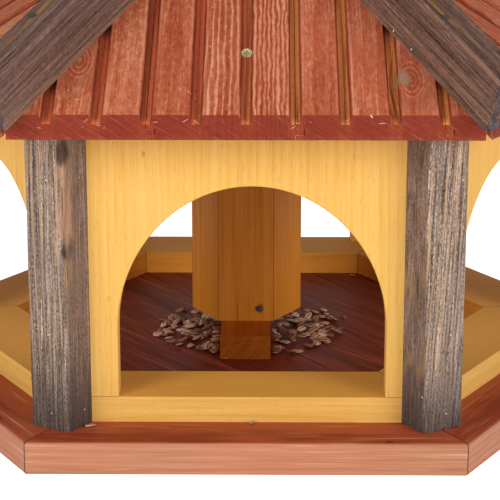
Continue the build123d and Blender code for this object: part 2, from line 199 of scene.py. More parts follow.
def flecks(tree, place, perMetre, radius, share):
    # small round marks: the cells of a flat Voronoi pattern that a random number picks
    x, y, z = split(tree, place)[:3]
    flatPlace = join(tree, scaled(tree, z, 0.8, x), y, 0.0)
    cells = vectorCalc(tree, "MULTIPLY", flatPlace, (perMetre, perMetre, 1.0))
    node = addNode(tree, "TexVoronoi", {"Vector": cells, "Scale": 1.0}, voronoi_dimensions="2D")
    edge = radius * perMetre
    spot = remap(tree, node.outputs["Distance"], edge * 0.6, edge, 1.0, 0.0, True)
    picked = calc(tree, "LESS_THAN", split(tree, node.outputs["Color"])[0], share)
    return times(tree, spot, picked)


def makeGroup(name, inputs, outputs):
    tree = bpy.data.node_groups.new(name, "ShaderNodeTree")
    for title, kind, value in inputs:
        socket = tree.interface.new_socket(title, in_out="INPUT", socket_type="NodeSocket" + kind)
        socket.default_value = value
    for title, kind in outputs:
        tree.interface.new_socket(title, in_out="OUTPUT", socket_type="NodeSocket" + kind)
    return tree, tree.nodes.new("NodeGroupInput").outputs, tree.nodes.new("NodeGroupOutput")


# Solid wood: x across the board, y along the grain and z out of the face, in metres.
# Year rings are cylinders round a pith line, bent by slow noise and pushed aside by knots.
def makeGrain():
    tree, given, made = makeGroup(
        "woodGrain",
        [
            ("Place", "Vector", (0, 0, 0)), ("Pith", "Vector", (0, 0, 0)), ("Ring width", "Float", 0.004),
            ("Bend", "Float", 0.008), ("Seed", "Float", 0.0),
            ("Knot", "Vector", (9, 9, 9)), ("Knot size", "Float", 0.01),
        ],
        [(title, "Float") for title in ("Ring", "Fibre", "Streak", "Patch", "Knot", "Eye")],
    )
    seeded = vectorCalc(tree, "ADD", given["Place"], join(tree, 0.0, times(tree, given["Seed"], 3.7), 0.0))
    place, pith, knot = (split(tree, given[title]) for title in ("Place", "Pith", "Knot"))
    # how near the knot, 0 far off and 1 at its heart, longer along the grain
    size = given["Knot size"]
    fromX = minus(tree, place[0], knot[0])
    spanX = calc(tree, "DIVIDE", fromX, size)
    spanY = calc(tree, "DIVIDE", minus(tree, place[1], knot[1]), times(tree, size, 2.2))
    far = plus(tree, times(tree, spanX, spanX), times(tree, spanY, spanY))
    away = calc(tree, "SQRT", far)
    near = calc(tree, "POWER", 2.718, times(tree, far, -0.35))
    bentX = minus(tree, place[0], times(tree, fromX, near, 0.92))
    # distance from the pith, with the slow wander of the rings, and eye-shaped rings at a knot
    slow = noise(tree, seeded, (16, 1.9, 16), 2.0, 0.5, 3.1)
    slower = noise(tree, seeded, (55, 6, 55), 2.0, 0.5, 8.4)
    spread = length3(tree, minus(tree, bentX, pith[0]), minus(tree, place[2], pith[2]))
    spread = sway(tree, spread, slow, times(tree, given["Bend"], 3.0))
    spread = sway(tree, spread, slower, times(tree, given["Bend"], 0.5))
    rings = calc(tree, "DIVIDE", spread, given["Ring width"])
    eyes = remap(tree, away, 1.1, 2.6, 1.0, 0.0, True)
    count = mixed(tree, eyes, rings, scaled(tree, away, 3.0, slower))
    # each ring darkens slowly to its late wood and ends sharply
    part = calc(tree, "FRACT", count)
    rise = calc(tree, "POWER", part, 2.2)
    drop = remap(tree, part, 0.9, 1.0, 1.0, 0.0, True)
    year = randomOf(tree, plus(tree, calc(tree, "FLOOR", count), given["Seed"]))
    bentPlace = vectorCalc(tree, "ADD", seeded, join(tree, minus(tree, bentX, place[0]), 0.0, 0.0))
    results = {
        "Ring": times(tree, rise, drop, remap(tree, year, 0.0, 1.0, 0.55, 1.25)),
        "Fibre": noise(tree, bentPlace, (760, 17, 760), 3.0, 0.6, 1.3),
        "Streak": noise(tree, bentPlace, (190, 4.5, 190), 3.0, 0.55, 5.2),
        "Patch": noise(tree, seeded, (14, 6, 14), 3.0, 0.55, 9.7),
        "Knot": remap(tree, away, 0.35, 1.0, 1.0, 0.0, True),
        "Eye": remap(tree, away, 0.7, 3.0, 1.0, 0.0, True),
    }
    connect(tree, made, results)
    return tree


grainGroup = makeGrain()

# What each finish looks like. Stops run from the dark lines to the light streaks.
finishes = {
    "roof": dict(
        stops=[(0.0, 112, 34, 18), (0.34, 164, 70, 42), (0.58, 196, 106, 70), (0.85, 236, 166, 128)],
        ring=0.16, fibre=0.5, streak=0.3, patch=0.3, tint=tone(190, 84, 54), tintShare=0.4,
        knot=tone(132, 58, 36), heart=0.25, end=tone(122, 34, 10), endShare=0.95, rough=0.5, relief=0.0006,
    ),
    "base": dict(
        stops=[(0.0, 112, 56, 38), (0.34, 164, 106, 76), (0.6, 186, 134, 102), (0.9, 212, 168, 136)],
        ring=-0.12, fibre=0.6, streak=0.34, patch=0.3, tint=tone(188, 104, 76), tintShare=0.4,
        knot=tone(84, 32, 24), end=tone(150, 70, 50), endShare=0.6, rough=0.5, relief=0.0003,
    ),
    "floor": dict(
        stops=[(0.0, 66, 18, 9), (0.4, 112, 42, 26), (0.65, 134, 56, 38), (0.95, 178, 98, 74)],
        ring=0.1, fibre=0.4, streak=0.5, patch=0.35, tint=tone(118, 34, 22), tintShare=0.4,
        knot=tone(70, 28, 22), end=tone(100, 40, 30), endShare=0.5, rough=0.42, relief=0.0003,
    ),
    "yellow": dict(
        stops=[(0.0, 190, 124, 44), (0.4, 222, 170, 82), (0.65, 235, 188, 104), (0.95, 248, 210, 138)],
        ring=-0.14, fibre=0.42, streak=0.32, patch=0.34, tint=tone(230, 174, 92), tintShare=0.35,
        knot=tone(160, 92, 36), end=tone(222, 150, 60), endShare=0.6, rough=0.55, relief=0.00018,
    ),
    "hopper": dict(
        stops=[(0.0, 140, 66, 10), (0.4, 204, 124, 34), (0.65, 226, 150, 50), (0.95, 242, 178, 82)],
        ring=-0.1, fibre=0.42, streak=0.34, patch=0.3, tint=tone(206, 124, 36), tintShare=0.35,
        knot=tone(130, 66, 30), end=tone(196, 120, 40), endShare=0.5, rough=0.5, relief=0.0002,
    ),
    "lath": dict(
        stops=[(0.0, 110, 44, 4), (0.4, 176, 92, 12), (0.65, 196, 112, 24), (0.95, 214, 140, 50)],
        ring=-0.2, fibre=0.42, streak=0.34, patch=0.3, tint=tone(180, 96, 20), tintShare=0.35,
        knot=tone(110, 50, 20), end=tone(170, 88, 22), endShare=0.5, rough=0.5, relief=0.0003,
    ),
    "post": dict(
        stops=[(0.0, 30, 22, 23), (0.33, 106, 90, 80), (0.6, 166, 143, 128), (0.92, 224, 198, 174)],
        ring=-0.1, fibre=1.25, streak=0.75, patch=0.3, tint=tone(112, 98, 100), tintShare=0.3,
        knot=tone(48, 38, 38), end=tone(52, 44, 46), endShare=0.7, rough=0.8, relief=0.0009,
    ),
    "batten": dict(
        stops=[(0.0, 26, 17, 15), (0.33, 92, 66, 54), (0.6, 132, 98, 82), (0.92, 184, 150, 128)],
        ring=-0.2, fibre=1.0, streak=0.7, patch=0.3, tint=tone(92, 74, 74), tintShare=0.4,
        knot=tone(36, 28, 28), end=tone(66, 56, 62), endShare=0.7, rough=0.8, relief=0.0008,
    ),
}


def newMaterial(name):
    material = bpy.data.materials.new(name)
    material.use_nodes = True
    return material, material.node_tree, material.node_tree.nodes["Principled BSDF"]


def bump(tree, strength, height):
    return addNode(tree, "Bump", {"Strength": strength, "Distance": 1.0, "Height": height}).outputs[0]


# A board's own look: its finish, and where its coordinates start and which way they turn
def boardLook(
    name, finish, place, turn, seed, pith=(0.0, -0.06), ringWidth=0.0045, bend=0.008,
    knots=None, knotSize=0.01, extra=None, wane=None, mitred=False, nailed=False,
):
    look = finishes[finish]
    material, tree, shader = newMaterial(name)
    world = addNode(tree, "NewGeometry").outputs["Normal"]
    board = turned(tree, addNode(tree, "TexCoord").outputs["Object"], place, turn)
    normal = turned(tree, world, (0, 0, 0), turn)
    values = {
        "Place": board, "Pith": (pith[0], 0, pith[1]), "Ring width": ringWidth, "Bend": bend, "Seed": seed,
    }
    if knots:
        # one knot on each side of the middle of the board
        right = calc(tree, "GREATER_THAN", split(tree, board)[0], knots[2])
        knotX, knotY = (mixed(tree, right, knots[0][axis], knots[1][axis]) for axis in (0, 1))
        values.update({"Knot": join(tree, knotX, knotY, 0.0), "Knot size": knotSize})
    grain = addNode(tree, "Group", values, node_tree=grainGroup).outputs
    level = scaled(tree, grain["Ring"], look["ring"], 0.5)
    for title in ("Fibre", "Streak", "Patch"):
        level = sway(tree, level, grain[title], look[title.lower()])
    parts = dict(
        tree=tree, board=board, normal=normal, world=world, level=level, grain=grain, seed=seed,
        knots=knots, wane=wane, mitred=mitred, nailed=nailed,
    )
    if extra:
        extra(parts, "level")
    along = calc(tree, "ABSOLUTE", split(tree, normal)[1])
    parts["ends"] = remap(tree, along, 0.6, 0.9, 0.0, look["endShare"], True)
    parts["height"] = times(tree, parts["level"], look["relief"])
    parts["colour"] = ramp(tree, parts["level"], look["stops"])
    paint(parts, remap(tree, grain["Patch"], 0.45, 0.7, 0.0, look["tintShare"], True), look["tint"])
    paint(parts, times(tree, grain["Knot"], look.get("heart", 1.0)), look["knot"])
    paint(parts, parts["ends"], look["end"])
    if extra:
        extra(parts, "colour")
    rough = remap(tree, parts["level"], 0.1, 0.9, look["rough"] + 0.1, look["rough"] - 0.08)
    connect(tree, shader, {
        "Base Color": parts["colour"], "Roughness": rough, "Specular IOR Level": 0.2,
        "Normal": bump(tree, 0.7, parts["height"]),
    })
    return material


def dress(name, material):
    piece = nodes[name]
    piece.data.materials.clear()
    piece.data.materials.append(material)


def outwards(step, apothem, height):
    # place at a distance from the axis: whole steps are sides, and half steps are corners
    turn = radians(60 * step)
    return (sin(turn) * apothem, -cos(turn) * apothem, height)


rng = np.random.default_rng(7)


def anySeed():
    return float(rng.uniform(0, 40))


# Each kind of board adds its own marks to the grain. A noise is (stretch, detail, roughness, seed),
# lines are (spacing, wander, stretch, sharpness, seed), and a share says how strongly a mark shows.
def paint(parts, share, colour):
    parts["colour"] = blend(parts["tree"], share, parts["colour"], colour)


# Roof: ribs of different grain, orange groove bottoms, painted shade on the groove walls and a dark joint
# line, a red sawn eave
roofLook = dict(
    ribPitch=0.035, lipHalf=0.0052, lipWidth=0.0014, grooveFloor=0.0108, plainRib=-1, fineRib=0,
    paleLines=(0.0046, 0.012, (40, 9, 40), 2.5, 3.0), darkLines=(0.0034, 0.005, (120, 42, 120), 1.5, 7.0),
    mottle=((330, 130, 330), 4.0, 0.75, 61.0), mottleShare=0.8,
    brushed=((60, 5, 60), 3.0, 0.6, 21.0), brushedShare=0.5, arcShare=0.4,
    scuff=((210, 90, 210), 4.0, 0.7, 33.0), scuffShare=0.4,
    pits=((640, 260, 640), 2.0, 0.6, 12.0), pitShare=0.4,
    sawn=((420, 1, 420), 3.0, 0.7, 4.0), sawSlant=1.9, sawDepth=0.0008, fleckSize=0.0006,
    pale=tone(232, 158, 128), dark=tone(92, 28, 14), groove=tone(250, 156, 84), redGroove=tone(236, 116, 74),
    brown=tone(176, 82, 40), seam=tone(58, 18, 10), grey=tone(166, 140, 118), saw=tone(190, 100, 78),
    fleck=tone(236, 214, 196),
)


def roofFeatures(parts, stage):
    tree, look, board, grain = parts["tree"], roofLook, parts["board"], parts["grain"]
    x, y, z = split(tree, board)[:3]
    ribs = calc(tree, "DIVIDE", x, look["ribPitch"])
    rib = calc(tree, "FLOOR", ribs)
    if stage == "level":
        plain = calc(tree, "COMPARE", rib, look["plainRib"], 0.2)
        fine = calc(tree, "COMPARE", rib, look["fineRib"], 0.2)
        pale = wavyLines(tree, board, *look["paleLines"])
        dark = wavyLines(tree, board, *look["darkLines"])
        level = plus(tree, parts["level"], times(tree, plain, scaled(tree, pale, 0.34, -0.13)))
        level = plus(tree, level, times(tree, fine, scaled(tree, dark, -0.44, 0.18)))
        level = sway(tree, level, noise(tree, board, *look["mottle"]), look["mottleShare"])
        chance = randomOf(tree, plus(tree, rib, parts["seed"]))
        level = plus(tree, level, remap(tree, chance, 0.0, 1.0, -0.05, 0.08))
        level = sway(tree, level, noise(tree, board, *look["brushed"]), look["brushedShare"])
        arcs = times(tree, grain["Eye"], minus(tree, grain["Ring"], 0.35))
        parts["level"] = scaled(tree, arcs, look["arcShare"], level)
        return
    ends, fibre = parts["ends"], grain["Fibre"]
    half = calc(tree, "FRACT", plus(tree, ribs, 0.5))
    across = times(tree, calc(tree, "ABSOLUTE", minus(tree, half, 0.5)), look["ribPitch"])
    slopeTop = minus(tree, 1.0, ends)
    groove = times(tree, slopeTop, band(tree, across, -1.0, look["lipHalf"], 0.0003))
    deep = remap(tree, z, look["grooveFloor"], look["grooveFloor"] + 0.001, 1.0, 0.0)
    warm = blend(tree, remap(tree, x, -0.01, 0.02), look["redGroove"], look["groove"])
    warm = blend(tree, remap(tree, grain["Streak"], 0.5, 0.65), warm, look["brown"])
    paint(parts, times(tree, groove, deep, remap(tree, grain["Patch"], 0.3, 0.6, 0.7, 1.0)), warm)
    # painted shade: the walls of each groove are painted dark, broken up by the fibre
    wall = band(tree, across, 0.0031, 0.0043, 0.0003)
    paint(parts, times(tree, groove, wall, remap(tree, fibre, 0.3, 0.7, 0.95, 0.45)), look["dark"])
    paint(parts, times(tree, groove, band(tree, across, -1.0, 0.0004, 0.0002), 0.35), look["seam"])
    # worn pale edges of the ribs, wood torn at the eave, scuffs and dark pits
    lip = band(tree, across, look["lipHalf"], look["lipHalf"] + look["lipWidth"], 0.0005)
    paint(parts, times(tree, slopeTop, lip, remap(tree, grain["Streak"], 0.45, 0.62, 0.0, 0.5)), look["pale"])
    torn = band(tree, y, -1.0, 0.0011, 0.0006)
    paint(parts, times(tree, slopeTop, torn, remap(tree, fibre, 0.4, 0.6, 0.0, 0.8)), look["pale"])
    scuff = noise(tree, board, *look["scuff"])
    paint(parts, times(tree, slopeTop, remap(tree, scuff, 0.6, 0.72, 0.0, look["scuffShare"])), look["pale"])
    pits = noise(tree, board, *look["pits"])
    paint(parts, times(tree, slopeTop, remap(tree, pits, 0.58, 0.72, 0.0, look["pitShare"])), look["dark"])
    # a bare grey patch beside the right knot
    knotX, knotY = parts["knots"][1]
    bareX = minus(tree, x, knotX - 0.006)
    bareY = times(tree, minus(tree, y, knotY + 0.002), 0.45)
    bare = sway(tree, length3(tree, bareX, bareY), scuff, 0.008)
    paint(parts, remap(tree, bare, 0.0025, 0.006, 0.75, 0.0, True), look["grey"])
    # saw marks run slantwise over the eave
    slant = join(tree, scaled(tree, z, look["sawSlant"], x), 0.0, times(tree, z, 0.25))
    sawn = noise(tree, slant, *look["sawn"])
    paint(parts, times(tree, ends, remap(tree, sawn, 0.55, 0.75, 0.0, 0.4)), look["saw"])
    paint(parts, times(tree, ends, remap(tree, sawn, 0.46, 0.3, 0.0, 0.7)), look["dark"])
    paint(parts, flecks(tree, board, 70, look["fleckSize"], 0.06), look["fleck"])
    parts["height"] = scaled(tree, times(tree, ends, sawn), look["sawDepth"], parts["height"])


# Base: salmon fronts, tops painted darker and redder (partly a redder glaze, partly painted shade) with
# darker brushed stains
baseStain = dict(
    brushed=((34, 5, 34), 4.0, 0.65, 17.0), streaks=((260, 9, 260), 3.0, 0.6, 44.0), jointWidth=0.0007,
    pinsPerMetre=22, pinSize=0.0022, pinShare=0.11, top=tone(186, 88, 52), stain=tone(136, 44, 22),
    knot=tone(70, 22, 16), pale=tone(226, 176, 142), joint=tone(60, 26, 18),
)


def baseFeatures(parts, stage):
    if stage == "level":
        return
    tree, look, board = parts["tree"], baseStain, parts["board"]
    top = remap(tree, split(tree, parts["normal"])[2], 0.5, 0.95, 0.0, 1.0, True)
    # the tops are painted darker and redder: partly a redder glaze, partly painted shade on the faces that
    # point up
    paint(parts, times(tree, top, 0.8), blend(tree, 1.0, parts["colour"], look["top"], "MULTIPLY"))
    paint(parts, times(tree, top, 0.62), look["top"])
    brushed = remap(tree, noise(tree, board, *look["brushed"]), 0.5, 0.62, 0.0, 0.75, True)
    paint(parts, times(tree, top, brushed), look["stain"])
    paint(parts, remap(tree, noise(tree, board, *look["streaks"]), 0.6, 0.72, 0.0, 0.4), look["pale"])
    place = vectorCalc(tree, "MULTIPLY", board, (1.0, 0.55, 1.0))
    pins = flecks(tree, place, look["pinsPerMetre"], look["pinSize"], look["pinShare"])
    paint(parts, times(tree, pins, 0.85), look["knot"])
    edge = remap(tree, split(tree, board)[2], -0.0017, -0.0004, 0.0, 0.3)
    paint(parts, times(tree, edge, minus(tree, 1.0, top)), look["pale"])
    paint(parts, times(tree, mitreLine(tree, board, baseApothem, look["jointWidth"]), 0.85), look["joint"])


# Yellow boards: fine pores, small pin knots, the tops of the rails a little browner as painted shade, and
# painted shade on the inner faces of the rails
yellowWear = dict(
    pores=((900, 120, 900), 2.0, 0.6, 3.0), pinsPerMetre=26, pinSize=0.0014, pinShare=0.05, jointWidth=0.0006,
    pore=tone(190, 122, 46), top=tone(232, 168, 66), inner=(1.0, 0.7, 0.34, 1), joint=tone(110, 62, 22),
)


def yellowFeatures(parts, stage):
    if stage == "level":
        return
    tree, look, board = parts["tree"], yellowWear, parts["board"]
    topShade = calc(tree, "ABSOLUTE", split(tree, parts["world"])[2])
    paint(parts, remap(tree, noise(tree, board, *look["pores"]), 0.6, 0.74, 0.0, 0.45), look["pore"])
    # painted shade: faces that point up or down are painted browner
    paint(parts, times(tree, remap(tree, topShade, 0.5, 0.95, 0.0, 1.0, True), 0.55), look["top"])
    place = vectorCalc(tree, "MULTIPLY", board, (1.0, 0.5, 1.0))
    pins = flecks(tree, place, look["pinsPerMetre"], look["pinSize"], look["pinShare"])
    paint(parts, times(tree, pins, 0.7), look["pore"])
    if parts["mitred"]:
        # painted shade: the inner faces of the rails, facing into the feeder, are multiplied to a darker,
        # deeper orange
        inner = remap(tree, split(tree, parts["normal"])[0], 0.6, 0.9, 0.0, 1.0, True)
        paint(parts, inner, blend(tree, 1.0, parts["colour"], look["inner"], "MULTIPLY"))
        joint = mitreLine(tree, board, wallApothem, look["jointWidth"])
        paint(parts, times(tree, joint, 0.8), look["joint"])
    else:
        foot = band(tree, split(tree, board)[1], -1.0, 0.0005, 0.0002)
        paint(parts, times(tree, foot, 0.55), look["joint"])


# Floor: glazed with a wide brush, a little off the line of its boards
floorWear = dict(
    turn=(0, 0, radians(8)), strokes=((300, 9, 300), 3.0, 0.6, 6.0), broad=((70, 6, 70), 2.0, 0.5, 8.0),
    brush=tone(176, 92, 66), dark=tone(62, 16, 8),
)


def floorFeatures(parts, stage):
    if stage == "level":
        return
    tree, look = parts["tree"], floorWear
    place = turned(tree, parts["board"], (0, 0, 0), look["turn"])
    paint(parts, remap(tree, noise(tree, place, *look["strokes"]), 0.55, 0.7, 0.0, 0.85), look["brush"])
    paint(parts, remap(tree, noise(tree, place, *look["broad"]), 0.5, 0.3, 0.0, 0.5), look["dark"])


# Hopper boards: dark drying cracks, and a stain round the nail of the front board
hopperWear = dict(
    seamWidth=0.0006, crackX=-0.007, crackWander=0.006, wander=((30, 18, 30), 3.0, 0.6, 2.0),
    nailX=0.0125, nailZ=0.011, crack=tone(74, 34, 10), stain=tone(84, 34, 10),
)


def hopperFeatures(parts, stage):
    if stage == "level":
        return
    tree, look, board = parts["tree"], hopperWear, parts["board"]
    x, y = split(tree, board)[:2]
    fromMiddle = calc(tree, "ABSOLUTE", x)
    seam = remap(tree, fromMiddle, hopperHalf - look["seamWidth"], hopperHalf - 0.0002, 0.0, 0.7)
    paint(parts, seam, look["crack"])
    if not parts["nailed"]:
        return
    wander = noise(tree, board, *look["wander"])
    crack = calc(tree, "ABSOLUTE", sway(tree, minus(tree, x, look["crackX"]), wander, look["crackWander"]))
    near = remap(tree, crack, 0.0002, 0.0005, 1.0, 0.0)
    reach = remap(tree, y, 0.006, 0.024, 0.9, 0.0, True)
    paint(parts, times(tree, near, reach, 0.85), look["crack"])
    fromX = minus(tree, x, look["nailX"])
    fromY = times(tree, minus(tree, y, look["nailZ"]), 0.55)
    stain = length3(tree, fromX, fromY)
    paint(parts, remap(tree, stain, 0.0012, 0.0032, 0.75, 0.0, True), look["stain"])


# Lath: slanting saw marks on its two ends
lathWear = dict(
    sawn=((520, 1, 520), 3.0, 0.7, 4.0), sawSlant=-1.1, pale=tone(216, 130, 48), dark=tone(104, 42, 6),
)


def lathFeatures(parts, stage):
    if stage == "level":
        return
    tree, look = parts["tree"], lathWear
    axes = split(tree, parts["board"])
    slant = join(tree, scaled(tree, axes[2], look["sawSlant"], axes[0]), 0.0, times(tree, axes[2], 0.2))
    sawn = noise(tree, slant, *look["sawn"])
    paint(parts, times(tree, parts["ends"], remap(tree, sawn, 0.5, 0.66, 0.0, 0.7)), look["pale"])
    paint(parts, times(tree, parts["ends"], remap(tree, sawn, 0.48, 0.34, 0.0, 0.7)), look["dark"])


# Posts: thin tan year lines in a grey fibrous face, darker feet, painted shade on the side faces, a bare edge
# with a knot
postWear = dict(
    coarse=((640, 22, 640), 3.0, 0.7, 14.0), coarseShare=0.7,
    grit=((950, 420, 950), 2.0, 0.7, 24.0), gritShare=1.3,
    lines=(0.0052, 0.014, (26, 3.2, 26), 7.0), lineShare=0.75,
    dents=(0.0052, 0.014, (26, 3.2, 26), 4.0), dentShare=0.25,
    pits=((560, 42, 560), 3.0, 0.65, 27.0), pitShare=0.6, ragged=((120, 34, 120), 4.0, 0.65, 71.0),
    footHeight=0.085, footShare=0.72, fleckSize=0.0007,
    tan=tone(196, 156, 112), foot=tone(48, 41, 46), pit=tone(26, 20, 22), bare=tone(176, 134, 104),
    fleck=tone(236, 230, 226), side=tone(112, 84, 66),
)


def postFeatures(parts, stage):
    tree, look, board, seed = parts["tree"], postWear, parts["board"], parts["seed"]
    x, y, z = split(tree, board)[:3]
    if stage == "level":
        level = sway(tree, parts["level"], noise(tree, board, *look["coarse"]), look["coarseShare"])
        parts["level"] = sway(tree, level, noise(tree, board, *look["grit"]), look["gritShare"])
        return
    lines = wavyLines(tree, board, *look["lines"], seed)
    shown = remap(tree, noise(tree, board, (70, 3, 70), 1.0, 0.5, seed + 3.0), 0.42, 0.56)
    dents = wavyLines(tree, board, *look["dents"], seed + 0.03)
    paint(parts, times(tree, dents, look["dentShare"]), look["pit"])
    paint(parts, times(tree, lines, shown, look["lineShare"]), look["tan"])
    # painted shade: faces turned sideways are painted a darker brown
    sideways = calc(tree, "ABSOLUTE", split(tree, parts["normal"])[0])
    paint(parts, remap(tree, sideways, 0.6, 0.95, 0.0, 0.55, True), look["side"])
    height = sway(tree, y, parts["grain"]["Patch"], 0.06)
    paint(parts, remap(tree, height, 0.0, look["footHeight"], look["footShare"], 0.0, True), look["foot"])
    pits = noise(tree, board, *look["pits"])
    paint(parts, remap(tree, pits, 0.58, 0.7, 0.0, look["pitShare"]), look["pit"])
    wane = parts["wane"]
    if wane:
        ragged = noise(tree, board, *look["ragged"])
        edge = minus(tree, x, wane["x"])
        rise = times(tree, minus(tree, y, wane["y"]), wane["flat"])
        far = sway(tree, length3(tree, edge, rise, times(tree, z, 0.8)), ragged, 0.022)
        paint(parts, remap(tree, far, 0.004, 0.0095, 0.75, 0.0, True), look["bare"])
        for knotY in wane["knots"]:
            rise = times(tree, minus(tree, y, knotY), 0.7)
            near = sway(tree, length3(tree, edge, rise, times(tree, z, 0.7)), ragged, 0.018)
            paint(parts, remap(tree, near, 0.003, 0.009, 0.8, 0.0, True), look["pit"])
    white = flecks(tree, board, 90, look["fleckSize"], remap(tree, y, 0.0, 0.05, 0.3, 0.012))
    paint(parts, white, look["fleck"])


# Battens: sawn brown sides, a darker fibrous top with tan streaks, and drying cracks
battenWear = dict(
    grit=((850, 210, 850), 2.0, 0.6, 24.0), gritShare=0.6, saw=((1, 520, 1), 2.0, 0.6, 3.0), sawShare=0.16,
    broad=((95, 4, 95), 2.0, 0.5, 41.0), thin=(0.0062, 0.02, (30, 3, 30), 14.0, 5.0),
    cracks=((330, 11, 330), 2.0, 0.5, 52.0), pits=((620, 60, 620), 3.0, 0.65, 27.0),
    tan=tone(168, 120, 64), sawTone=tone(150, 112, 90), pit=tone(24, 18, 20), blue=tone(82, 80, 96),
    fleck=tone(240, 236, 232), knot=tone(22, 14, 14),
)


def battenFeatures(parts, stage):
    tree, look, board = parts["tree"], battenWear, parts["board"]
    sideways = calc(tree, "ABSOLUTE", split(tree, parts["normal"])[0])
    sideFace = remap(tree, sideways, 0.6, 0.95, 0.0, 1.0, True)
    if stage == "level":
        axes = split(tree, board)
        slant = join(tree, 0.0, scaled(tree, axes[2], 0.55, axes[1]), 0.0)
        level = sway(tree, parts["level"], noise(tree, board, *look["grit"]), look["gritShare"])
        saw = noise(tree, slant, *look["saw"])
        parts["level"] = sway(tree, level, saw, times(tree, sideFace, look["sawShare"]))
        return
    top = minus(tree, 1.0, sideFace)
    broad = noise(tree, board, *look["broad"])
    paint(parts, times(tree, top, remap(tree, broad, 0.58, 0.68, 0.0, 0.75, True)), look["tan"])
    paint(parts, times(tree, top, remap(tree, broad, 0.42, 0.32, 0.0, 0.6, True)), look["blue"])
    shown = remap(tree, parts["grain"]["Streak"], 0.4, 0.6, 0.0, 0.55)
    paint(parts, times(tree, wavyLines(tree, board, *look["thin"]), shown), look["sawTone"])
    cracks = remap(tree, noise(tree, board, *look["cracks"]), 0.66, 0.7, 0.0, 0.9)
    paint(parts, times(tree, top, cracks), look["pit"])
    paint(parts, remap(tree, noise(tree, board, *look["pits"]), 0.6, 0.72, 0.0, 0.7), look["pit"])
    knots = flecks(tree, vectorCalc(tree, "MULTIPLY", board, (1.0, 0.5, 1.0)), 20, 0.003, 0.12)
    paint(parts, times(tree, knots, 0.8), look["knot"])
    paint(parts, flecks(tree, board, 55, 0.0008, 0.03), look["fleck"])


def dressBoard(node, title, finish, place, turn, **details):
    dress(node, boardLook(title, finish, place, turn, anySeed(), **details))


# Flat boards lie along their side, standing boards have their grain upright
roofKnots = [(-0.121, 0.072), (0.118, 0.05), 0.0]
for step, side in enumerate(sides):
    turn = radians(60 * step)
    lying = (0, 0, turn + pi / 2)      # x inwards, y along the side turned back, z up
    standing = (pi / 2, 0, turn)
    baseSide, wallFoot = outwards(step, baseApothem, floorHeight), outwards(step, wallApothem, railHeight)
    hopperSide = (
        hopperMiddle[0] + sin(turn) * hopperApothem, hopperMiddle[1] - cos(turn) * hopperApothem, hopperLow.z,
    )
    dressBoard(
        "base_board_" + side, "baseWood_" + side, "base", baseSide, lying,
        pith=(0.03, -0.05), ringWidth=0.005, extra=baseFeatures,
    )
    dressBoard(
        "rail_" + side, "railWood_" + side, "yellow", wallFoot, lying,
        pith=(0.12, -0.03), ringWidth=0.004, extra=yellowFeatures, mitred=True,
    )
    dressBoard(
        "arch_wall_" + side, "wallWood_" + side, "yellow", wallFoot, standing,
        pith=(0.3, -0.1), ringWidth=0.006, extra=yellowFeatures,
    )
    dressBoard(
        "hopper_board_" + side, "hopperWood_" + side, "hopper", hopperSide, standing,
        pith=(0.01, -0.05), ringWidth=0.005, extra=hopperFeatures, nailed=side == "front",
    )
    dressBoard(
        "roof_face_" + side, "roofWood_" + side, "roof", outwards(step, eaveApothem, eaveHeight),
        (roofPitch, 0, turn), pith=(0.0, -0.12), ringWidth=0.0052, bend=0.006,
        knots=roofKnots, knotSize=0.0085, extra=roofFeatures,
    )

floorTurn = (0, 0, radians(30))
bearerTurn = (0, 0, radians(120))
flat, upright = (0, 0, 0), (pi / 2, 0, 0)
for number in range(1, 7):
    dressBoard(
        f"floor_board_{number}", f"floorWood_{number}", "floor", (0, 0, floorHeight), floorTurn,
        pith=(0.02 * number, -0.2), extra=floorFeatures,
    )
for name in ("floor_bearer_front", "floor_bearer_back"):
    dressBoard(name, name + "_wood", "base", (0, 0, 0), bearerTurn)
dressBoard("hopper_lath", "lathWood", "lath", (*hopperMiddle, floorHeight), flat, extra=lathFeatures)
for node, title, finish, place, turn in (
    ("hopper_block", "blockWood", "hopper", (*hopperMiddle, floorHeight), upright),
    ("hopper_collar", "collarWood", "yellow", (*hopperMiddle, 0.35), flat),
    ("roof_cleats", "cleatWood", "yellow", (0, 0, 0.28), flat),
    ("lid", "lidWood", "roof", (*hopperMiddle, 0.41), flat),
    ("lid_plug", "plugWood", "yellow", (*hopperMiddle, 0.41), flat),
    ("lid_knob", "knobWood", "batten", (*hopperMiddle, 0.43), upright),
):
    dressBoard(node, title, finish, place, turn)


# Zinc-plated steel of the screws, and the stained heads of the nails
def steelLook(name, stops, metallic, rough):
    material, tree, shader = newMaterial(name)
    place = addNode(tree, "TexCoord").outputs["Object"]
    spots = noise(tree, place, (900, 900, 900), 3.0, 0.6)
    connect(tree, shader, {
        "Base Color": ramp(tree, spots, stops), "Metallic": metallic,
        "Roughness": remap(tree, spots, 0.3, 0.7, rough + 0.1, rough - 0.1),
        "Normal": bump(tree, 0.4, times(tree, spots, 0.0002)),
    })
    return material


zincStops = [(0.3, 176, 160, 112), (0.5, 236, 222, 170), (0.75, 250, 242, 208)]
stainedStops = [(0.3, 52, 40, 36), (0.55, 92, 74, 66), (0.8, 130, 112, 100)]
zinc = steelLook("zincSteel", zincStops, metallic=0.1, rough=0.4)
stained = steelLook("stainedNails", stainedStops, metallic=0.3, rough=0.6)
for name in ("floor_screws", "roof_screws"):
    dress(name, zinc)
dress("nails", stained)
print("woods and steel dressed")


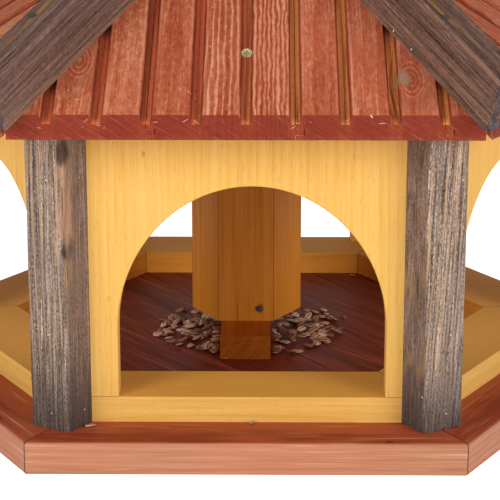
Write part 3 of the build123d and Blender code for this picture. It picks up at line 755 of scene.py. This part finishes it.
# Smooth random field: a table of random numbers read at (u, v), blended between four cells
def ripple(u, v, seed):
    table = np.random.default_rng(seed).standard_normal((64, 64))
    i, j = np.floor(u).astype(int), np.floor(v).astype(int)
    a, b = u - i, v - j
    a, b = a * a * (3 - 2 * a), b * b * (3 - 2 * b)
    near = table[i % 64, j % 64] * (1 - a) + table[(i + 1) % 64, j % 64] * a
    beyond = table[i % 64, (j + 1) % 64] * (1 - a) + table[(i + 1) % 64, (j + 1) % 64] * a
    return near * (1 - b) + beyond * b


def addPiece(name, points, faces, material):
    mesh = bpy.data.meshes.new(name)
    mesh.from_pydata(points.reshape(-1, 3).tolist(), [], faces)
    mesh.materials.append(material)
    piece = bpy.data.objects.new(name, mesh)
    bpy.context.scene.collection.objects.link(piece)
    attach(piece, "feeder")
    return piece


def sleeve(rows, around):
    # faces of a closed tube of points, with a flat face at each end
    index = np.arange(rows * around).reshape(rows, around)
    beside = np.roll(index, -1, axis=1)
    quads = np.stack([index[:-1], beside[:-1], beside[1:], index[1:]], axis=-1).reshape(-1, 4)
    return quads.tolist() + [index[0][::-1].tolist(), index[-1].tolist()]


def run(first, last, count):
    # straight stretch of an outline, its last point left to the next stretch
    share = np.linspace(0, 1, count, endpoint=False)[:, None]
    return np.array(first) * (1 - share) + np.array(last) * share


def bow(middle, radius, start, end, count):
    # quarter round of an outline, angles in degrees
    angle = np.radians(np.linspace(start, end, count, endpoint=False))
    return np.array(middle) + radius * np.stack([np.cos(angle), np.sin(angle)], axis=-1)


# Rough sawn timber: the outline carried along the grain, pressed in by fibres and saw marks.
# inward(u, v) = depth + fibre ripples of three widths, never outside the planed size
def roughness(u, v, seed, look):
    field = 0.5 * ripple(u / look["fine"], v / look["fineRun"], seed)
    field += 0.6 * ripple(u / look["coarse"], v / look["coarseRun"], seed + 1)
    field += 0.5 * ripple(u / look["wide"], v / look["wideRun"], seed + 2)
    return np.clip(look["depth"] * (1 + field), 0, look["most"])


def pressed(outline, push):
    # the outline moved inwards by push, square to its own direction
    ahead = np.roll(outline, -1, axis=0) - np.roll(outline, 1, axis=0)
    inward = np.stack([ahead[:, 1], -ahead[:, 0]], axis=-1)
    inward /= np.linalg.norm(inward, axis=1, keepdims=True) + 1e-9
    return outline[None] + push[..., None] * inward[None]


def timberOutline(half, top, r, footHalf, foot, valley, counts):
    # section of a post or a batten: flat top, rounded edges, two sides, and a V that fits the corner below
    across, curve, side, seat = counts
    return np.concatenate([
        run((-half + r, top), (half - r, top), across), bow((half - r, top - r), r, 90, 0, curve),
        run((half, top - r), (footHalf, foot), side), run((footHalf, foot), (0, valley), seat),
        run((0, valley), (-footHalf, foot), seat), run((-footHalf, foot), (-half, top - r), side),
        bow((-half + r, top - r), r, 180, 90, curve),
    ])


postShape = dict(
    edge=0.0035, counts=(44, 8, 26, 4), spacing=0.001, grainLength=0.25, seed=100,
    fine=0.0011, fineRun=0.02, coarse=0.0026, coarseRun=0.06, wide=0.008, wideRun=0.09,
    depth=0.00035, most=0.0011, foot=0.0011, rows=150,
    leans=dict(front_right=3.4, left=-2.0, right=1.5), lean=0.4,
    wanePost="front_left", waneDepth=0.0034, wane=dict(x=0.016, y=0.172, flat=0.16, knots=(0.215, 0.14)),
)
wallCorner = wallApothem / cos(radians(30))
postLow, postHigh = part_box("post_right")
postHalf, postFace = postHigh.y, postHigh.x
eaveCut = tan(roofPitch)


def addPost(step, corner):
    # post(u, v) = outline point u at the height v of the way from its foot to the two roof slopes
    look = postShape
    notch = wallCorner - postHalf * tan(radians(30))
    outline = timberOutline(postHalf, postFace, look["edge"], postHalf, notch, wallCorner, look["counts"])
    around = len(outline)
    free = np.clip((outline[:, 1] - notch - 0.002) / 0.003, 0, 1)
    u = np.arange(around)[None, :] * look["spacing"]
    v = np.linspace(0, 1, look["rows"])[:, None]
    seed = look["seed"] + 7 * step
    push = roughness(u, v * look["grainLength"], seed, look) * free
    wane = look["wane"] if corner == look["wanePost"] else None
    if wane:
        nearEdge = np.exp(-((u - 0.048) / 0.006) ** 2)
        height = v * (postHigh.z - postLow.z)
        hollow = np.exp(-((height - wane["y"]) / 0.032) ** 4)
        hollow = hollow * (1 + 0.3 * ripple(u / 0.003, v * 14, seed + 9))
        push = push + look["waneDepth"] * nearEdge * hollow
    flat = pressed(outline, push)
    foot = postLow.z + np.clip(ripple(u[0] / 0.0022, 3.3 + 0 * u[0], seed + 4), 0, 2) * look["foot"] * free
    reach = flat[-1, :, 1] * cos(radians(30)) + np.abs(flat[-1, :, 0]) * 0.5
    top = eaveHeight + (eaveApothem - reach) * eaveCut - 0.0001
    height = foot[None] * (1 - v) + top[None] * v
    turn = radians(60 * (step + 0.5))
    x = flat[..., 0] * cos(turn) + flat[..., 1] * sin(turn)
    y = flat[..., 0] * sin(turn) - flat[..., 1] * cos(turn)
    points = np.stack([x, y, height], axis=-1)
    lean = radians(look["leans"].get(corner, look["lean"]))
    place = outwards(step + 0.5, postFace, floorHeight)
    material = boardLook(
        "postWood_" + corner, "post", place, (pi / 2, lean, turn), anySeed(),
        pith=(0.05, -0.04), ringWidth=0.0042, bend=0.005, extra=postFeatures, wane=wane,
    )
    faces = sleeve(look["rows"], around)
    piece = addPiece("roughPost_" + corner, points, faces, material)
    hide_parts("post_" + corner)


battenShape = dict(
    edge=0.0015, counts=(34, 5, 46, 5), spacing=0.0009, seed=300, roughTop=0.034,
    fine=0.0012, fineRun=0.02, coarse=0.003, coarseRun=0.07, wide=0.009, wideRun=0.11,
    depth=0.0003, most=0.0009, saw=0.0031, sawDepth=0.00006, ends=0.0009, rows=210,
)
hipPitch = atan(tan(roofPitch) * cos(radians(30)))


def addBatten(step, corner):
    # batten(u, v) = section point u at the length v along the hip, sawn sides and a fibrous top
    look = battenShape
    turn = radians(60 * (step + 0.5))
    place = np.array(outwards(step + 0.5, eaveApothem / cos(radians(30)), eaveHeight))
    rotation = np.array(Euler((hipPitch, 0, turn)).to_matrix())
    # the planed batten's own sizes, along, across and out of the hip
    source = nodes["hip_batten_" + corner].data.vertices
    points = np.empty(len(source) * 3)
    source.foreach_get("co", points)
    local = (points.reshape(-1, 3) - place) @ rotation
    low, high = local.min(axis=0), local.max(axis=0)
    middle = local[np.abs(local[:, 0]) < 0.0005, 2].min()
    baseHalf = np.abs(local[local[:, 2] < low[2] + 0.0005, 0]).max()
    crest = high[2]
    outline = timberOutline(high[0], crest, look["edge"], baseHalf, low[2], middle, look["counts"])
    around = len(outline)
    free = np.clip((outline[:, 1] - crest + look["roughTop"]) / 0.004, 0, 1)
    sides = np.clip((crest - 0.002 - outline[:, 1]) / 0.002, 0, 1) * free
    u = np.arange(around)[None, :] * look["spacing"]
    v = np.linspace(0, 1, look["rows"])[:, None]
    seed = look["seed"] + 7 * step
    length = high[1] - low[1]
    push = roughness(u, v * length, seed, look) * free
    slant = v * length + 0.5 * outline[None, :, 1]
    teeth = np.sin(2 * pi * slant / look["saw"] + ripple(slant / 0.02, u / 0.02, seed + 5))
    push = push + look["sawDepth"] * (1 + teeth) * sides
    flat = pressed(outline, push)
    start = low[1] + np.abs(ripple(u[0] / 0.002, 1.7 + 0 * u[0], seed + 4)) * look["ends"] * free
    along = start[None] * (1 - v) + (high[1] - 0.0002) * v
    points = np.stack([flat[..., 0], along, flat[..., 1]], axis=-1) @ rotation.T + place
    material = boardLook(
        "battenWood_" + corner, "batten", tuple(place), (hipPitch, 0, turn), anySeed(),
        pith=(0.02, -0.03), ringWidth=0.004, extra=battenFeatures,
    )
    faces = sleeve(look["rows"], around)
    piece = addPiece("roughBatten_" + corner, points, faces, material)
    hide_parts("hip_batten_" + corner)


for step, corner in enumerate(corners):
    addPost(step, corner)
    addBatten(step, corner)
print("posts and battens sawn")


# Kernels and slivers: one small closed shape of two parameters, carried to many places at once.
# shape(a, t) = (t, width(t) cos a, thickness(t) sin a), blunt at one end and pointed at the other
def kernelShape(around, rows, taper):
    t = np.linspace(-1, 1, rows + 2)[1:-1, None]
    a = np.linspace(0, 2 * pi, around, endpoint=False)[None]
    width = np.sqrt(1 - t ** 2) * (1 - taper * t) / (1 + taper ** 2)
    body = np.stack([t + 0 * a, width * np.cos(a), width * np.sin(a)], axis=-1).reshape(-1, 3)
    points = np.concatenate([body, [[-1.0, 0, 0], [1.0, 0, 0]]])
    index = np.arange(rows * around).reshape(rows, around)
    beside = np.roll(index, -1, axis=1)
    quads = np.stack([index[:-1], index[1:], beside[1:], beside[:-1]], axis=-1).reshape(-1, 4)
    low, high = rows * around, rows * around + 1
    bluntEnd = np.stack([np.full(around, low), index[0], beside[0]], axis=-1)
    pointedEnd = np.stack([np.full(around, high), beside[-1], index[-1]], axis=-1)
    return points, quads.tolist() + bluntEnd.tolist() + pointedEnd.tolist()


def scatter(name, shape, places, headings, tilts, rolls, sizes, material):
    points, faces = shape
    cosH, sinH = np.cos(headings), np.sin(headings)
    cosT, sinT = np.cos(tilts), np.sin(tilts)
    cosR, sinR = np.cos(rolls), np.sin(rolls)
    zero, one = np.zeros_like(cosH), np.ones_like(cosH)
    yaw = np.array([[cosH, -sinH, zero], [sinH, cosH, zero], [zero, zero, one]])
    pitch = np.array([[cosT, zero, sinT], [zero, one, zero], [-sinT, zero, cosT]])
    roll = np.array([[one, zero, zero], [zero, cosR, -sinR], [zero, sinR, cosR]])
    turns = np.einsum("abn,bcn,cdn->nad", yaw, pitch, roll)
    cloud = np.einsum("nad,npd->npa", turns, points[None] * sizes[:, None]) + places[:, None]
    count = len(points)
    starts = range(0, count * len(places), count)
    allFaces = [[index + start for index in face] for start in starts for face in faces]
    piece = addPiece(name, cloud, allFaces, material)
    husk = np.repeat(np.modf(headings * 7.3)[0], count)
    angle = np.tile(np.arctan2(points[:, 2], points[:, 1]), len(places))
    for title, value in (("husk", husk), ("round", angle)):
        attribute = piece.data.attributes.new(title, "FLOAT", "POINT")
        attribute.data.foreach_set("value", value.astype(np.float32))
    piece.data.polygons.foreach_set("use_smooth", np.ones(len(piece.data.polygons), dtype=bool))
    return piece


def seedLook():
    material, tree, shader = newMaterial("stripedSeed")
    place = addNode(tree, "TexCoord").outputs["Object"]
    around = addNode(tree, "Attribute", attribute_name="round").outputs["Fac"]
    husk = addNode(tree, "Attribute", attribute_name="husk").outputs["Fac"]
    stripes = calc(tree, "SINE", scaled(tree, around, seedMix["stripes"], times(tree, husk, 9.0)))
    mottle = noise(tree, place, (500, 500, 500), 3.0, 0.6)
    level = scaled(tree, stripes, 0.2, scaled(tree, husk, 0.5, times(tree, mottle, 0.5)))
    connect(tree, shader, {
        "Base Color": ramp(tree, level, seedMix["stops"]),
        "Roughness": remap(tree, mottle, 0.3, 0.7, 0.5, 0.3),
        "Normal": bump(tree, 0.5, times(tree, stripes, 0.0002)),
    })
    return material


seedMix = dict(
    length=(0.0044, 0.0064), width=0.64, thick=0.15, taper=0.3, lift=0.0015, heap=0.0042, stripes=6.0,
    left=120, right=100, gap=0.026, reachLeft=0.056, reachRight=0.062,
    fan=0.72, fanLimit=1.35, forwards=-0.12,
    strayLength=(0.0032, 0.0052), strayWidth=0.5, strayThick=0.22, strayLift=0.0014,
    stops=[(0.12, 88, 48, 32), (0.38, 150, 98, 70), (0.64, 192, 142, 110), (0.9, 240, 218, 196)],
)
seedWood = seedLook()


def spill(name, count, side, seed):
    # seeds thrown out of one side of the outlet: dense near the hopper, thinning outwards
    look = seedMix
    dice = np.random.default_rng(seed)
    angle = dice.normal(0, look["fan"], count).clip(-look["fanLimit"], look["fanLimit"]) + look["forwards"]
    farthest = look["reachLeft"] if side < 0 else look["reachRight"]
    reach = look["gap"] + farthest * dice.beta(1.5, 1.4, count)
    x = hopperMiddle[0] + side * np.maximum(reach * np.cos(angle), look["gap"])
    y = hopperMiddle[1] + reach * np.sin(angle)
    nearness = np.exp(-((reach - look["gap"]) / 0.03) ** 2)
    z = floorHeight + look["lift"] + dice.uniform(0, 1, count) * look["heap"] * nearness
    length = dice.uniform(*look["length"], count)
    width = length * look["width"] * dice.uniform(0.85, 1.1, count)
    sizes = np.stack([length, width, length * look["thick"]], axis=-1)
    tilts, rolls = dice.normal(0, 0.16, count), dice.normal(0, 0.22, count)
    z = z + np.abs(np.sin(tilts)) * length + np.abs(np.sin(rolls)) * width * 0.6 - 0.0006
    places, headings = np.stack([x, y, z], axis=-1), dice.uniform(0, 2 * pi, count)
    shape = kernelShape(8, 4, look["taper"])
    scatter(name, shape, places, headings, tilts, rolls, sizes, seedWood)


spill("seedSpill_left", seedMix["left"], -1, 11)
spill("seedSpill_right", seedMix["right"], 1, 12)


def addStrays():
    # single seeds that rolled off: some by the back rails, one on the front rail, two on the base
    look = seedMix
    dice = np.random.default_rng(5)
    spots = np.array([
        (0.112, 0.163), (0.122, 0.158), (0.131, 0.168), (0.097, 0.166), (-0.128, 0.12),
        (-0.134, 0.108), (0.083, 0.03), (-0.02, -0.09), (0.004, -0.244), (-0.118, -0.252),
    ])
    count = len(spots)
    places = np.column_stack([spots, np.full(count, floorHeight + look["strayLift"])])
    length = dice.uniform(*look["strayLength"], count)
    sizes = np.stack([length, length * look["strayWidth"], length * look["strayThick"]], axis=-1)
    headings, level = dice.uniform(0, 6, count), np.zeros(count)
    shape = kernelShape(8, 4, look["taper"])
    scatter("straySeeds", shape, places, headings, level, level, sizes, seedWood)


addStrays()

# Slivers of torn wood where the grooves run out over the eave
sliverMix = dict(
    perFace=15, length=(0.0012, 0.0032), width=0.0005, thick=0.2, taper=0.2, proud=0.0002,
    lift=(0.0085, 0.0145),
)


def sliverLook():
    material, tree, shader = newMaterial("tornFibre")
    place = addNode(tree, "TexCoord").outputs["Object"]
    mottle = noise(tree, place, (700, 700, 700), 2.0, 0.6)
    colour = ramp(tree, mottle, [(0.3, 160, 78, 54), (0.7, 214, 148, 120)])
    connect(tree, shader, {"Base Color": colour, "Roughness": remap(tree, mottle, 0.3, 0.7, 0.7, 0.5)})
    return material


def addSlivers():
    look = sliverMix
    dice = np.random.default_rng(23)
    count = look["perFace"] * 6
    face = np.repeat(np.arange(6), look["perFace"])
    turn = np.radians(60 * face)
    groove = dice.integers(-4, 5, count)
    across = (groove + dice.normal(0, 0.16, count)) * roofLook["ribPitch"]
    lift = dice.uniform(*look["lift"], count)
    out = eaveApothem + look["proud"]
    x = np.cos(turn) * across + np.sin(turn) * out
    y = np.sin(turn) * across - np.cos(turn) * out
    length = dice.uniform(*look["length"], count)
    sizes = np.stack([length, np.full(count, look["width"]), length * look["thick"]], axis=-1)
    tilts = dice.normal(0, 0.5, count)
    places = np.stack([x, y, eaveHeight + lift], axis=-1)
    shape = kernelShape(5, 3, look["taper"])
    scatter("eaveSlivers", shape, places, turn, tilts, 0 * turn, sizes, sliverLook())


addSlivers()
print("seeds and slivers scattered")


# Floor, light and camera
studio = dict(
    worldLight=0.33, keyPower=31.0, keyPlace=(-1.5, -1.9, 0.95), keySize=1.3,
    fillPower=32.0, fillPlace=(1.7, -1.75, 0.85), fillSize=1.3, floorGlow=0.85, floorReach=30,
)


def addFloor():
    mesh, reach = bpy.data.meshes.new("studioFloor"), studio["floorReach"]
    corners = [(-reach, -reach, 0), (reach, -reach, 0), (reach, reach, 0), (-reach, reach, 0)]
    mesh.from_pydata(corners, [], [(0, 1, 2, 3)])
    mesh.materials.append(floorLook())
    surface = bpy.data.objects.new("studioFloor", mesh)
    bpy.context.scene.collection.objects.link(surface)


def floorLook():
    material, tree, shader = newMaterial("studioFloor")
    place = addNode(tree, "TexCoord").outputs["Object"]
    shade = ramp(tree, noise(tree, place, (2, 2, 2), 2.0), [(0.0, 242, 242, 242), (1.0, 250, 250, 250)])
    seen = addNode(tree, "LightPath").outputs["Is Camera Ray"]
    connect(tree, shader, {
        "Base Color": shade, "Roughness": 0.9, "Emission Color": (1, 1, 1, 1),
        "Emission Strength": remap(tree, seen, 0.0, 1.0, 0.3, studio["floorGlow"]),
    })
    return material


addFloor()

world = bpy.data.worlds.new("studioWorld")
bpy.context.scene.world = world
world.use_nodes = True
sky = world.node_tree
seen = addNode(sky, "LightPath").outputs["Is Camera Ray"]
glow = remap(sky, seen, 0.0, 1.0, studio["worldLight"], 1.0)
connect(sky, sky.nodes["Background"], {"Color": (1, 1, 1, 1), "Strength": glow})


def addLight(name, place, size, power, target=(0, 0, 0.2)):
    light = bpy.data.lights.new(name, "AREA")
    light.shape = "DISK"
    light.size = size
    light.energy = power
    lamp = bpy.data.objects.new(name, light)
    bpy.context.scene.collection.objects.link(lamp)
    lamp.location = place
    away = np.array(place) - np.array(target)
    across = np.hypot(away[0], away[1])
    lamp.rotation_euler = (np.arctan2(across, away[2]), 0, np.arctan2(away[0], -away[1]))
    return lamp


addLight("keyLight", studio["keyPlace"], studio["keySize"], studio["keyPower"])
addLight("fillLight", studio["fillPlace"], studio["fillSize"], studio["fillPower"])

# In metres and degrees, but the lens in millimetres
shot = dict(distance=1.6203, height=0.535, pitch=15.13, yaw=0.6, lens=138.5)
camera = bpy.data.objects.new("camera", bpy.data.cameras.new("camera"))
bpy.context.scene.collection.objects.link(camera)
camera.data.lens = shot["lens"]
camera.data.sensor_width = 36
turn = radians(shot["yaw"])
camera.location = (sin(turn) * shot["distance"], -cos(turn) * shot["distance"], shot["height"])
camera.rotation_euler = (radians(90 - shot["pitch"]), 0, turn)
bpy.context.scene.camera = camera
bpy.context.scene.view_settings.view_transform = "Standard"
print("studio set")
